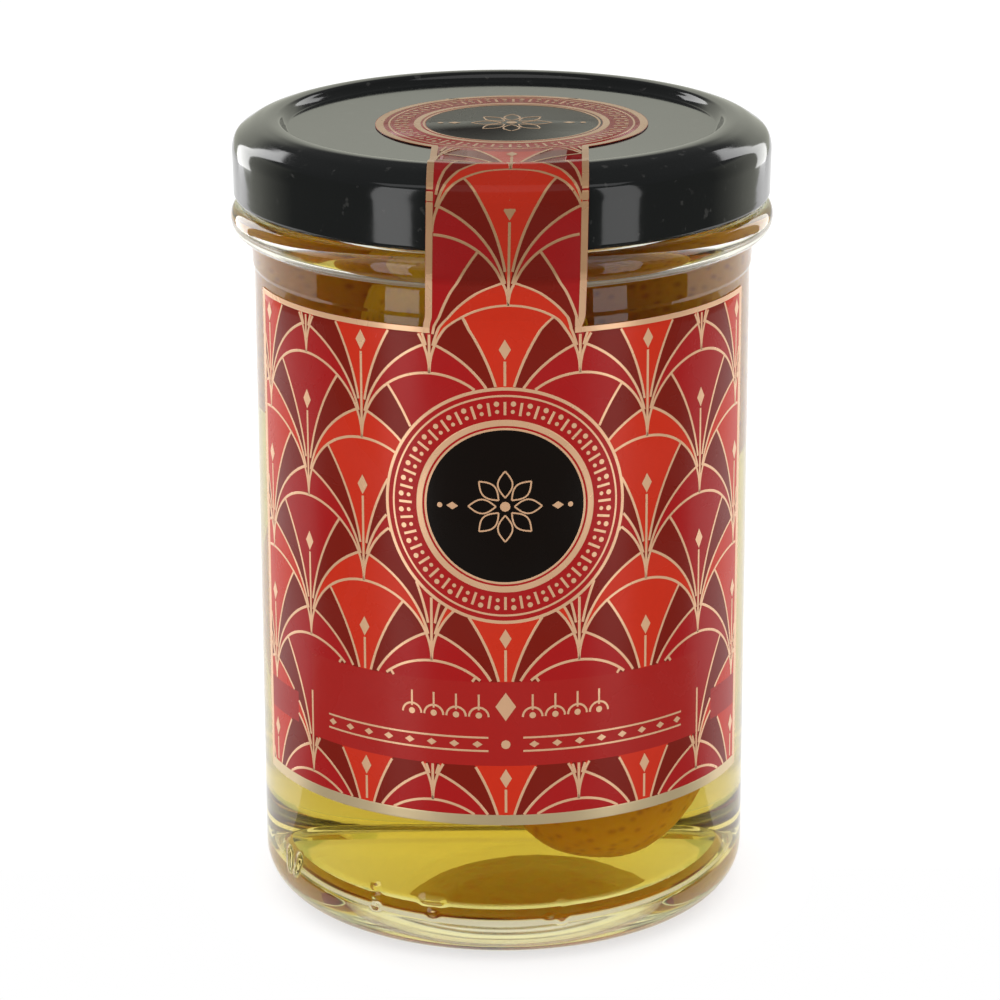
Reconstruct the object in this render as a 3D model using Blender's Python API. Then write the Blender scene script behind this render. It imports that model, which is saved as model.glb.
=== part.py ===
import math
import random

import bmesh
import bpy

mm = 0.001

# Shared sizes
turnSteps = 60              # flats round every turned piece
clearance = 0.2 * mm        # the sticker stands this far off the glass and the lid

# Glass jar
bodyRadius = 32.25 * mm
wallThickness = 2.65 * mm
heelRadius = 5.8 * mm
footOuter = bodyRadius - heelRadius
footInner = 24.6 * mm
pushFlat = 19.3 * mm        # the base is pushed up flat inside this radius
pushEdge = 23.3 * mm        # and comes down to its foot here
pushUp = 2.2 * mm
pushFoot = 0.2 * mm         # the underside's height at the foot
floorHeight = 4.8 * mm      # the floor inside, over the flat
floorLow = 1.5 * mm         # and at the foot
floorCorner = 6.0 * mm
pushSteps = 4
wallTop = 85.9 * mm         # a shallow fillet leads from the wall to the ring
filletStart = 86.4 * mm
filletEnd = 89.9 * mm
filletRise = 0.22 * mm      # how far it stands out from the wall at its start
filletReach = 0.35 * mm     # and at its end
creaseRadius = 33.4 * mm    # the sharp crease under the ring
creaseHeight = 90.25 * mm
ringRadius = 35.13 * mm     # the glass ring under the lid
ringHeight = 92.4 * mm      # where its rounded top starts
ringRound = 1.85 * mm
ringUnder = 2.0 * mm        # height of its curved underside
ringOver = 1.9 * mm         # height of its rounded top
ringFlat = 0.2 * mm         # the straight band between them
neckRadius = 32.3 * mm
neckFoot = 94.9 * mm
innerShoulder = 86.0 * mm   # the wall thickens inwards from here
mouthRadius = 28.6 * mm
mouthStart = 90.0 * mm      # to here
beadRadius = 33.1 * mm      # the bead that the lid grips, hidden under the skirt
beadHeight = 98.4 * mm
rimTop = 103.5 * mm
rimRound = 1.1 * mm

# Twist-off lid
lidRadius = 34.84 * mm
lidThickness = 0.6 * mm
skirtBottom = 94.9 * mm
skirtRadius = 34.74 * mm    # the skirt draws in a little towards its curl
skirtWaist = 97.7 * mm
curlHeight = 1.4 * mm
curlInner = 33.5 * mm
curlRound = 0.4 * mm
shoulderHeight = 102.0 * mm
crestRadius = 30.0 * mm
crestHeight = 104.9 * mm
panelRadius = 27.7 * mm
panelHeight = 103.7 * mm

# Sticker: a wrap round the body, a strip over the lid's edge and a round seal
labelBottom = 19.5 * mm
labelTop = 84.8 * mm
labelHalfAngle = math.radians(71)
labelColumns = 10           # on each side of the strip
labelThickness = 0.2 * mm
stripWidth = 19.7 * mm
stripColumns = 6
stripStart = 0.35 * mm      # the strip was stuck on a little askew, this far to the right where it starts
stripLean = 0.0175          # and this much further for each length that it rises
stripDip = 90.0 * mm        # it sinks towards the crease here
sealRadius = 17.6 * mm
sealSteps = 40

# Babas: six tall sponge cakes, stacked round a core
babaRadius = 13.2 * mm
babaCircle = 15.4 * mm      # their axes stand on this circle
babaSides = 20
babaRings = 13
babaRoundness = 2.25        # 2 is an ellipse, more is squarer
babaUnevenness = 0.5 * mm
coreRadius = 7.0 * mm
coreMargin = 8.0 * mm       # the core ends this far inside the heap
# each cake's turn from the label in degrees, its bottom and height in mm, and its lean to the right in degrees
cakePlaces = [
    dict(turn=60, base=7.4, height=42.0, lean=9.0),
    dict(turn=172, base=5.6, height=44.0, lean=0.0),
    dict(turn=-75, base=20.5, height=37.5, lean=0.0),
    dict(turn=-12, base=58.0, height=37.5, lean=0.0),
    dict(turn=108, base=55.0, height=40.0, lean=0.0),
    dict(turn=-132, base=58.8, height=37.5, lean=0.0),
]


def clearScene():
    for thing in list(bpy.data.objects):
        bpy.data.objects.remove(thing, do_unlink=True)


def makeMaterial(name, colour, roughness, metallic=0.0, transmission=0.0, ior=1.45):
    material = bpy.data.materials.new(name)
    material.use_nodes = True
    shader = material.node_tree.nodes["Principled BSDF"]
    shader.inputs["Base Color"].default_value = (*colour, 1.0)
    shader.inputs["Roughness"].default_value = roughness
    shader.inputs["Metallic"].default_value = metallic
    shader.inputs["Transmission Weight"].default_value = transmission
    shader.inputs["IOR"].default_value = ior
    return material


def addObject(name, mesh, material=None, collection=None):
    thing = bpy.data.objects.new(name, mesh)
    (collection or bpy.context.scene.collection).objects.link(thing)
    if material:
        mesh.materials.append(material)
    return thing


def ellipseArc(centre, radii, startDegrees, endDegrees, count):
    points = []
    for i in range(count + 1):
        angle = math.radians(startDegrees + (endDegrees - startDegrees) * i / count)
        points.append((centre[0] + radii[0] * math.cos(angle), centre[1] + radii[1] * math.sin(angle)))
    return points


def turnedPiece(name, profile, material):
    # the profile runs from the axis, down the outer side, and back to the axis
    mesh = bpy.data.meshes.new(name)
    points = [(radius, 0.0, height) for radius, height in profile]
    mesh.from_pydata(points, [(i, i + 1) for i in range(len(points) - 1)], [])
    thing = addObject(name, mesh, material)
    screw = thing.modifiers.new("Turn", "SCREW")
    screw.axis = "Z"
    screw.steps = turnSteps
    screw.render_steps = turnSteps
    screw.use_merge_vertices = True
    screw.merge_threshold = 0.00001
    screw.use_smooth_shade = True
    return thing


def pushedUp(low, high):
    # the pushed-up base from its middle outwards: flat, then down a soft step
    path = [(0.0, high)]
    for i in range(pushSteps):
        share = 0.5 + 0.5 * math.cos(math.pi * i / pushSteps)
        path.append((pushFlat + (pushEdge - pushFlat) * i / pushSteps, low + (high - low) * share))
    return path


def jarProfile():
    inner = bodyRadius - wallThickness
    lip = (neckRadius - mouthRadius) / 2
    ringCentre = ringRadius - ringRound
    profile = pushedUp(floorLow, floorHeight)
    profile += ellipseArc((inner - floorCorner, floorLow + floorCorner), (floorCorner, floorCorner), -90, 0, 5)
    profile += [(inner, innerShoulder), (mouthRadius, mouthStart)]
    profile += ellipseArc((mouthRadius + lip, rimTop - rimRound), (lip, rimRound), 180, 0, 6)
    profile += [
        (neckRadius, beadHeight + 1.0 * mm),
        (beadRadius, beadHeight + 0.4 * mm),
        (beadRadius, beadHeight - 0.4 * mm),
        (neckRadius, beadHeight - 1.0 * mm),
        (neckRadius, neckFoot),
    ]
    profile += ellipseArc((ringCentre, ringHeight), (ringRound, ringOver), 90, 0, 4)
    profile += ellipseArc((ringCentre, ringHeight - ringFlat), (ringRound, ringUnder), 0, -70, 4)
    profile += [
        (creaseRadius, creaseHeight),
        (bodyRadius + filletReach, filletEnd),
        (bodyRadius + filletRise, filletStart),
        (bodyRadius, wallTop),
    ]
    profile += ellipseArc((bodyRadius - heelRadius, heelRadius), (heelRadius, heelRadius), 0, -90, 6)
    profile.append((footInner, 0.0))
    profile += reversed(pushedUp(pushFoot, pushUp))
    return profile


def lidOutline():
    # the lid's top face, from the panel's edge over the crest and down the shoulder
    return [
        (panelRadius, panelHeight),
        (panelRadius + 0.5 * mm, panelHeight + 0.4 * mm),
        (crestRadius - 1.3 * mm, crestHeight - 0.15 * mm),
        (crestRadius, crestHeight),
        (crestRadius + 2.1 * mm, crestHeight - 0.55 * mm),
        (lidRadius - 1.5 * mm, shoulderHeight + 1.6 * mm),
        (lidRadius - 0.55 * mm, shoulderHeight + 0.85 * mm),
        (lidRadius, shoulderHeight - 0.6 * mm),
    ]


def lidProfile():
    profile = [(0.0, panelHeight)] + lidOutline()
    profile += [
        (skirtRadius, skirtWaist),
        (skirtRadius, skirtBottom + curlRound),
        (skirtRadius - 0.3 * mm, skirtBottom),
        (curlInner + 0.2 * mm, skirtBottom),
        (curlInner, skirtBottom + curlRound),
        (curlInner, skirtBottom + curlHeight),
        (skirtRadius - lidThickness, skirtBottom + curlHeight + 0.8 * mm),
        (lidRadius - lidThickness, shoulderHeight - 0.6 * mm),
        (lidRadius - 0.5 * mm - lidThickness, shoulderHeight + 0.4 * mm),
        (crestRadius + 1.8 * mm, crestHeight - 0.6 * mm - lidThickness),
        (crestRadius - 0.9 * mm, crestHeight - lidThickness),
        (panelRadius + 0.6 * mm, panelHeight - lidThickness + 0.1 * mm),
        (0.0, panelHeight - lidThickness),
    ]
    return profile


def stripPath():
    # radius and height of the strip's inner face, from the body to the lid's panel
    off = clearance
    return [
        (bodyRadius + off, labelTop),
        (bodyRadius + off + 0.3 * mm, labelTop + 1.2 * mm),
        (creaseRadius + 0.98 * mm, stripDip),
        (ringRadius + off, stripDip + 1.45 * mm),
        (ringRadius + off + 0.05 * mm, ringHeight),
        (ringRadius + off - 0.05 * mm, ringHeight + 0.8 * mm),
        (skirtRadius + off + 0.15 * mm, skirtBottom + 0.9 * mm),
        (skirtRadius + off + 0.05 * mm, skirtWaist),
        (lidRadius + off + 0.12 * mm, shoulderHeight - 0.7 * mm),
        (lidRadius + off - 0.5 * mm, shoulderHeight + 1.0 * mm),
        (lidRadius + off - 1.55 * mm, shoulderHeight + 1.8 * mm),
        (crestRadius + 2.2 * mm, crestHeight + off - 0.53 * mm),
        (crestRadius, crestHeight + off + 0.05 * mm),
        (crestRadius - 1.5 * mm, crestHeight + off),
        (panelRadius - 1.2 * mm, panelHeight + off + 0.05 * mm),
    ]


def stripShift(length):
    # how far the strip and the seal lie to the right, at this length along the strip
    return stripStart + stripLean * length


def stickerMesh():
    mesh = bpy.data.meshes.new("label")
    sheet = bmesh.new()
    half = stripWidth / 2
    acrossStrip = [half * (2 * i / stripColumns - 1) for i in range(stripColumns + 1)]
    wrapRadius = bodyRadius + clearance
    edgeAngle = math.asin(half / wrapRadius)
    side = [edgeAngle + (labelHalfAngle - edgeAngle) * i / labelColumns for i in range(1, labelColumns + 1)]
    middle = [math.asin(x / wrapRadius) for x in acrossStrip]
    angles = [-a for a in reversed(side)] + middle + side

    def wrapRow(height):
        return [sheet.verts.new((wrapRadius * math.sin(a), -wrapRadius * math.cos(a), height)) for a in angles]

    def fillBetween(lower, upper):
        for i in range(len(lower) - 1):
            sheet.faces.new((lower[i], lower[i + 1], upper[i + 1], upper[i]))

    bottomRow = wrapRow(labelBottom)
    topRow = wrapRow(labelTop)
    fillBetween(bottomRow, topRow)

    path = stripPath()
    previous = topRow[labelColumns:labelColumns + stripColumns + 1]
    length = 0.0
    for below, here in zip(path, path[1:]):
        radius, height = here
        length += math.dist(below, here)
        row = []
        for x in acrossStrip:
            x += stripShift(length)
            row.append(sheet.verts.new((x, -math.sqrt(radius * radius - x * x), height)))
        fillBetween(previous, row)
        previous = row

    # the strip meets the round seal along a chord
    sealHeight = path[-1][1]

    def sealSpot(x, y):
        return sheet.verts.new((x + stripShift(length + y + path[-1][0]), y, sealHeight))

    chord = math.sqrt(sealRadius * sealRadius - half * half)
    row = [sealSpot(x, -chord) for x in acrossStrip]
    fillBetween(previous, row)
    start = math.asin(half / sealRadius)
    seal = list(row)
    for i in range(1, sealSteps):
        a = start + (2 * math.pi - 2 * start) * i / sealSteps
        seal.append(sealSpot(sealRadius * math.sin(a), -sealRadius * math.cos(a)))
    sheet.faces.new(seal)
    sheet.normal_update()
    sheet.to_mesh(mesh)
    sheet.free()
    mesh.shade_smooth()
    return mesh


def babaMesh(name, height, seed):
    # a tall sponge with rounded ends, a little uneven all round
    draw = random.Random(seed)
    waves = [(k, draw.uniform(0, 2 * math.pi), draw.uniform(0, 2 * math.pi)) for k in (2, 3, 4)]
    work = bmesh.new()

    def ring(level):
        t = 2 * level - 1
        span = (1 - abs(t) ** babaRoundness) ** (1 / babaRoundness)
        verts = []
        for j in range(babaSides):
            a = 2 * math.pi * j / babaSides
            bump = sum(math.sin(k * a + p + 3 * t * math.sin(q)) for k, p, q in waves) / len(waves)
            r = (babaRadius - babaUnevenness + babaUnevenness * bump) * span
            verts.append(work.verts.new((r * math.cos(a), r * math.sin(a), height * level)))
        return verts

    levels = [(1 - math.cos(math.pi * i / (babaRings + 1))) / 2 for i in range(1, babaRings + 1)]
    rings = [ring(level) for level in levels]
    bottom = work.verts.new((0, 0, 0))
    top = work.verts.new((0, 0, height))
    for lower, upper in zip(rings, rings[1:]):
        for j in range(babaSides):
            k = (j + 1) % babaSides
            work.faces.new((lower[j], lower[k], upper[k], upper[j]))
    for j in range(babaSides):
        k = (j + 1) % babaSides
        work.faces.new((bottom, rings[0][k], rings[0][j]))
        work.faces.new((top, rings[-1][j], rings[-1][k]))
    mesh = bpy.data.meshes.new(name)
    work.to_mesh(mesh)
    work.free()
    return mesh


def babaHeap(material):
    # the core is the node; the cakes are joined to it by one union and then removed
    low = min(place["base"] for place in cakePlaces) * mm + coreMargin
    high = max(place["base"] + place["height"] for place in cakePlaces) * mm - coreMargin
    work = bmesh.new()
    bmesh.ops.create_cone(work, cap_ends=True, segments=babaSides, radius1=coreRadius, radius2=coreRadius,
                          depth=high - low)
    coreMesh = bpy.data.meshes.new("babas")
    work.to_mesh(coreMesh)
    work.free()
    heap = addObject("babas", coreMesh, material)
    heap.location.z = (low + high) / 2

    cakes = bpy.data.collections.new("cakes")
    bpy.context.scene.collection.children.link(cakes)
    draw = random.Random(7)
    for i, place in enumerate(cakePlaces):
        name = f"cake_{i}"
        cake = addObject(name, babaMesh(name, place["height"] * mm, i), None, cakes)
        around = math.radians(place["turn"])
        lean = math.radians(place["lean"])
        back = place["height"] / 2 * mm * math.sin(lean)    # the cake leans about its middle
        cake.location = (babaCircle * math.sin(around) - back, -babaCircle * math.cos(around), place["base"] * mm)
        cake.rotation_euler = (0, lean, draw.uniform(0, math.pi))
    union = heap.modifiers.new("Join cakes", "BOOLEAN")
    union.operation = "UNION"
    union.solver = "EXACT"
    union.operand_type = "COLLECTION"
    union.collection = cakes

    bpy.context.view_layer.update()
    graph = bpy.context.evaluated_depsgraph_get()
    joined = bpy.data.meshes.new_from_object(heap.evaluated_get(graph))
    heap.modifiers.clear()
    heap.data = joined
    heap.data.shade_smooth()
    for cake in list(cakes.objects):
        bpy.data.objects.remove(cake, do_unlink=True)
    bpy.data.collections.remove(cakes)
    return heap


def main():
    clearScene()
    glass = makeMaterial("clear_glass", (0.95, 0.97, 0.95), 0.03, transmission=1.0, ior=1.52)
    enamel = makeMaterial("black_enamel", (0.012, 0.013, 0.013), 0.18)
    paper = makeMaterial("crimson_sticker", (0.38, 0.012, 0.018), 0.35)
    sponge = makeMaterial("soaked_sponge", (0.36, 0.14, 0.03), 0.55)

    root = bpy.data.objects.new("jar_of_babas", None)
    bpy.context.scene.collection.objects.link(root)

    jar = turnedPiece("jar", jarProfile(), glass)
    lid = turnedPiece("lid", lidProfile(), enamel)
    label = addObject("label", stickerMesh(), paper)
    thicken = label.modifiers.new("Paper", "SOLIDIFY")
    thicken.thickness = labelThickness
    thicken.offset = 1.0
    babas = babaHeap(sponge)
    for piece in (jar, lid, label, babas):
        piece.parent = root


main()
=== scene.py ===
import math
import random

import bmesh
import bpy
from mathutils import Matrix, Vector, noise


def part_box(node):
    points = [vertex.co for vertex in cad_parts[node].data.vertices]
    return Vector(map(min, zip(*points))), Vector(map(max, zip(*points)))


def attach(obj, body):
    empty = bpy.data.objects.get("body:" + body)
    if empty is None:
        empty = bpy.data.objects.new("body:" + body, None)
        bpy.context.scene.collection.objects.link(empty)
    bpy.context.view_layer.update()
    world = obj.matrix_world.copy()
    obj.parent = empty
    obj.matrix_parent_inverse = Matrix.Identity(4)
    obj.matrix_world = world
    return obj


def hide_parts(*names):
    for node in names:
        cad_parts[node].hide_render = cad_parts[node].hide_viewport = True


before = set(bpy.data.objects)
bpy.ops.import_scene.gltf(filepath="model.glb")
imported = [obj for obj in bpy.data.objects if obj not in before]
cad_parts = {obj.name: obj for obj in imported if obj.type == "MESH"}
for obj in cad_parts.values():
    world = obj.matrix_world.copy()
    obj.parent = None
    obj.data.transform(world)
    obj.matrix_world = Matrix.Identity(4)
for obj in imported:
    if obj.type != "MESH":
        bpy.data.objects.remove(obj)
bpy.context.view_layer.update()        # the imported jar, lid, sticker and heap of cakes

mm = 0.001

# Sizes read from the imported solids
jarLow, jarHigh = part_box("jar")
lidLow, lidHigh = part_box("lid")
labelLow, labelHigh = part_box("label")
ringRadius = jarHigh[0]
rimTop = jarHigh[2]
lidRadius = lidHigh[0]
skirtBottom = lidLow[2]
crestHeight = lidHigh[2]
labelBottom = labelLow[2]

# Sizes that the boxes don't give
bodyRadius = 32.25 * mm
wallThickness = 2.65 * mm
floorHeight = 4.8 * mm
labelTop = 84.8 * mm
stripHalf = 9.85 * mm
sealRadius = labelHigh[1]


# Helpers for outlines and meshes

def arc(centre, radii, start, end, count):
    points = []
    for i in range(count + 1):
        a = math.radians(start + (end - start) * i / count)
        points.append((centre[0] + radii[0] * math.cos(a), centre[1] + radii[1] * math.sin(a)))
    return points


def rounded(corners, count=6):
    # corners are (x, y, radius); each is replaced by a smooth bend of about that radius
    path = []
    for i, (x, y, radius) in enumerate(corners):
        here = Vector((x, y))
        if radius == 0 or i in (0, len(corners) - 1):
            path.append((x, y))
            continue
        before = Vector(corners[i - 1][:2]) - here
        after = Vector(corners[i + 1][:2]) - here
        turn = before.angle(after)
        reach = min(radius / max(math.tan(turn / 2), 0.05), before.length * 0.48, after.length * 0.48)
        a = here + before.normalized() * reach
        b = here + after.normalized() * reach
        for k in range(count + 1):
            t = k / count
            spot = a * (1 - t) ** 2 + here * 2 * t * (1 - t) + b * t ** 2
            path.append((spot.x, spot.y))
    return path


def spaced(path, step):
    # the same outline with points no further apart than step
    dense = [path[0]]
    for a, b in zip(path, path[1:]):
        pieces = max(1, math.ceil(math.dist(a, b) / step))
        for k in range(1, pieces + 1):
            dense.append((a[0] + (b[0] - a[0]) * k / pieces, a[1] + (b[1] - a[1]) * k / pieces))
    return dense


def addPiece(name, mesh, slot, *nodes):
    piece = bpy.data.objects.new(name, mesh)
    bpy.context.scene.collection.objects.link(piece)
    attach(piece, "root")
    if nodes:
        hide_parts(*nodes)
    return piece


def joinRings(work, rings):
    # a ring of one point closes the shape
    for upper, lower in zip(rings, rings[1:]):
        count = max(len(upper), len(lower))
        for k in range(count):
            n = (k + 1) % count
            if len(upper) == 1:
                work.faces.new((upper[0], lower[k], lower[n]))
            elif len(lower) == 1:
                work.faces.new((upper[n], upper[k], lower[0]))
            else:
                work.faces.new((upper[n], upper[k], lower[k], lower[n]))


def finishMesh(name, work, smooth=True):
    mesh = bpy.data.meshes.new(name)
    work.to_mesh(mesh)
    work.free()
    if smooth:
        mesh.shade_smooth()
    return mesh


def turnedMesh(name, profile, segments, shift=None):
    # profile runs from the axis, down the outer side and back to the axis; shift moves single points
    work = bmesh.new()
    rings = []
    for i, (radius, height) in enumerate(profile):
        if radius < 1e-7:
            rings.append([work.verts.new((0, 0, height))])
            continue
        ring = []
        for k in range(segments):
            a = 2 * math.pi * k / segments
            r, z = shift(i, a, radius, height) if shift else (radius, height)
            ring.append(work.verts.new((r * math.sin(a), -r * math.cos(a), z)))
        rings.append(ring)
    joinRings(work, rings)
    bmesh.ops.recalc_face_normals(work, faces=work.faces)
    return finishMesh(name, work)


# Helpers for materials

def newMaterial(name):
    material = bpy.data.materials.new(name)
    material.use_nodes = True
    tree = material.node_tree
    return material, tree, tree.nodes["Principled BSDF"]


def addNode(tree, kind, **values):
    node = tree.nodes.new(kind)
    for key, value in values.items():
        setattr(node, key, value)
    return node


def plug(tree, value, socket):
    if isinstance(value, bpy.types.NodeSocket):
        tree.links.new(value, socket)
    else:
        socket.default_value = value


def setInputs(tree, node, values):
    # each value is a plain one or another node's output
    for name, value in values.items():
        plug(tree, value, node.inputs[name])


def calc(tree, operation, a, b=0.0, c=0.0):
    node = addNode(tree, "ShaderNodeMath", operation=operation)
    for value, socket in zip((a, b, c), node.inputs):
        plug(tree, value, socket)
    return node.outputs[0]


def squareSum(tree, a, b):
    return calc(tree, "ADD", calc(tree, "MULTIPLY", a, a), calc(tree, "MULTIPLY", b, b))


def mapRange(tree, value, fromLow, fromHigh, toLow=0.0, toHigh=1.0, interpolation="LINEAR"):
    node = addNode(tree, "ShaderNodeMapRange", interpolation_type=interpolation)
    setInputs(tree, node, {"Value": value, "From Min": fromLow, "From Max": fromHigh,
                           "To Min": toLow, "To Max": toHigh})
    return node.outputs["Result"]


def mixColour(tree, factor, a, b):
    node = addNode(tree, "ShaderNodeMix", data_type="RGBA")
    plug(tree, factor, node.inputs["Factor"])
    for value, socket in ((a, node.inputs[6]), (b, node.inputs[7])):
        plug(tree, value if isinstance(value, bpy.types.NodeSocket) else (*value, 1.0), socket)
    return node.outputs[2]


def srgb(red, green, blue):
    # a colour given as it looks on screen, from 0 to 255
    def linear(c):
        return c / 255 / 12.92 if c <= 10 else ((c / 255 + 0.055) / 1.055) ** 2.4

    return tuple(linear(c) for c in (red, green, blue))


def objectPlace(tree):
    return addNode(tree, "ShaderNodeTexCoord").outputs["Object"]


def splitPlace(tree, place):
    node = addNode(tree, "ShaderNodeSeparateXYZ")
    tree.links.new(place, node.inputs["Vector"])
    return node.outputs


def addNoise(tree, values, place=None):
    node = addNode(tree, "ShaderNodeTexNoise")
    setInputs(tree, node, {"Vector": place or objectPlace(tree), **values})
    return node.outputs["Fac"]


def addBump(tree, shader, height, strength, distance):
    # distance is in mm
    bump = addNode(tree, "ShaderNodeBump")
    setInputs(tree, bump, {"Height": height, "Strength": strength, "Distance": distance * mm})
    tree.links.new(bump.outputs["Normal"], shader.inputs["Normal"])


def absorbLight(tree, colour, density):
    absorb = addNode(tree, "ShaderNodeVolumeAbsorption")
    setInputs(tree, absorb, {"Color": (*colour, 1), "Density": density})
    tree.links.new(absorb.outputs["Volume"], tree.nodes["Material Output"].inputs["Volume"])


def newGroup(name, inputs, outputs):
    # every socket is a plain number
    group = bpy.data.node_groups.new(name, "ShaderNodeTree")
    for label, value in inputs.items():
        socket = group.interface.new_socket(name=label, in_out="INPUT", socket_type="NodeSocketFloat")
        socket.default_value = value
    for label in outputs:
        group.interface.new_socket(name=label, in_out="OUTPUT", socket_type="NodeSocketFloat")
    return group, group.nodes.new("NodeGroupInput"), group.nodes.new("NodeGroupOutput")


def handlingGroup():
    # faint smears and fine specks left by handling, for gloss surfaces
    group, source, out = newGroup(
        "handlingMarks", {"Smear Size": 60.0, "Speck Size": 900.0, "Gloss": 0.1, "Smear Amount": 0.1},
        ("Roughness", "Speck"))
    given = source.outputs
    smear = addNoise(group, {"Scale": given["Smear Size"], "Detail": 5.0, "Distortion": 0.8})
    speck = addNoise(group, {"Scale": given["Speck Size"], "Detail": 2.0})
    soft = mapRange(group, smear, 0.42, 0.72)
    rough = calc(group, "MULTIPLY_ADD", soft, given["Smear Amount"], given["Gloss"])
    setInputs(group, out, {"Roughness": rough, "Speck": mapRange(group, speck, 0.66, 0.74)})
    return group


handlingMarks = handlingGroup()


def placeHandling(tree, shader, gloss, amount, smearSize, speckSize=900.0):
    # sets how rough the surface is and returns where the specks are
    node = addNode(tree, "ShaderNodeGroup", node_tree=handlingMarks)
    setInputs(tree, node, {"Gloss": gloss, "Smear Amount": amount, "Smear Size": smearSize,
                           "Speck Size": speckSize})
    tree.links.new(node.outputs["Roughness"], shader.inputs["Roughness"])
    return node.outputs["Speck"]


# The syrup's level and how strongly it bends light; the jar's wall and its wetted glass follow them
syrupTop = 90.5 * mm        # just under the ring, with air above
syrupIor = 1.36

# Glass jar
glassJar = dict(
    segments=480, neckRadius=32.3, neckFoot=94.9, mouthRadius=28.6, rimRound=1.1,
    ringHeight=92.4, ringUnder=2.0, ringOver=1.9, ringRound=1.85, ringFlat=0.2,
    innerShoulder=86.0, mouthStart=90.0, mouthEnd=101.0,
    beadRadius=33.1, beadLow=97.4, beadHigh=99.4, beadSlope=0.6,
    wallTop=85.9, filletStart=86.4, filletEnd=89.9, filletRise=0.22, filletReach=0.35,
    creaseRadius=33.4, creaseHeight=90.25,
    heelRadius=5.8, heelTop=13.4, footInner=24.6, floorLow=1.5, floorCorner=6.0,
    pushUp=2.2, pushFlat=19.3, pushEdge=23.3, pushFoot=0.2,
    ribs=160, ribRelief=0.12, ribTop=1.3, ribInner=26.6,
    ior=1.5, tint=(0.86, 0.93, 0.88), tintDensity=4.0, gloss=0.012,
    markHeight=7.8, markStroke=0.42, markSoft=1.6, markReach=3.5, markTurns=(-66, 20),
)
# raised marks on the heel, as dots (one point) and bars (two points), in degrees round
# and mm up from markHeight, each with its relief in mm
heelMarks = [
    (-61.5, -1.2, -61.5, 1.3, 0.30), (-58.6, -1.2, -56.6, 1.3, 0.30), (-57.6, 0.0, -57.6, 0.0, 0.30),
    (-31.0, -1.3, -31.0, -1.3, 0.26), (-31.0, 0.0, -31.0, 0.0, 0.26), (-31.0, 1.3, -31.0, 1.3, 0.26),
    (-18.6, 0.7, -14.4, 0.7, 0.15), (-16.5, -1.1, -16.5, -1.1, 0.15),
    (10.6, -1.0, 10.6, -1.0, 0.12), (13.4, -1.5, 13.4, 0.8, 0.12),
]


def markLift(angle, height):
    # how far the raised marks stand out here, in mm
    g = glassJar
    degrees = math.degrees(angle)
    degrees = degrees - 360 if degrees > 180 else degrees
    first, last = g["markTurns"]
    if abs(height - g["markHeight"]) > g["markReach"] or not first < degrees < last:
        return 0.0
    perDegree = math.radians(1) * bodyRadius / mm
    x, y = degrees * perDegree, height - g["markHeight"]
    lift = 0.0
    for a0, h0, a1, h1, relief in heelMarks:
        ax, bx = a0 * perDegree, a1 * perDegree
        span = (bx - ax) ** 2 + (h1 - h0) ** 2
        t = 0.0 if span == 0 else max(0.0, min(1.0, ((x - ax) * (bx - ax) + (y - h0) * (h1 - h0)) / span))
        reach = math.hypot(x - ax - t * (bx - ax), y - h0 - t * (h1 - h0))
        edge = max(0.0, min(1.0, g["markSoft"] - reach / g["markStroke"]))
        lift = max(lift, relief * edge * edge * (3 - 2 * edge))
    return lift


def pushedUp(low, high, steps=7):
    # the pushed-up base from the middle outwards: flat, then down a soft step
    flat, edge = glassJar["pushFlat"], glassJar["pushEdge"]
    path = [(0.0, high)]
    for k in range(steps):
        share = 0.5 + 0.5 * math.cos(math.pi * k / steps)
        path.append((flat + (edge - flat) * k / steps, low + (high - low) * share))
    return path


def innerWall(into=0.0):
    # the wall's inner side upwards, with a point at the syrup's level; into is how deep in the glass
    # it lies, in mm
    g = glassJar
    inner, mouth = (bodyRadius - wallThickness) / mm + into, g["mouthRadius"] + into
    level = syrupTop / mm
    path = rounded([(inner, 60.0, 0), (inner, g["innerShoulder"], 3.0), (mouth, g["mouthStart"], 3.0),
                    (mouth, g["mouthEnd"], 0)])
    for i, (a, b) in enumerate(zip(path, path[1:])):
        if a[1] < level <= b[1]:
            t = (level - a[1]) / (b[1] - a[1])
            return path[:i + 1] + [(a[0] + (b[0] - a[0]) * t, level)] + path[i + 1:]


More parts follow.
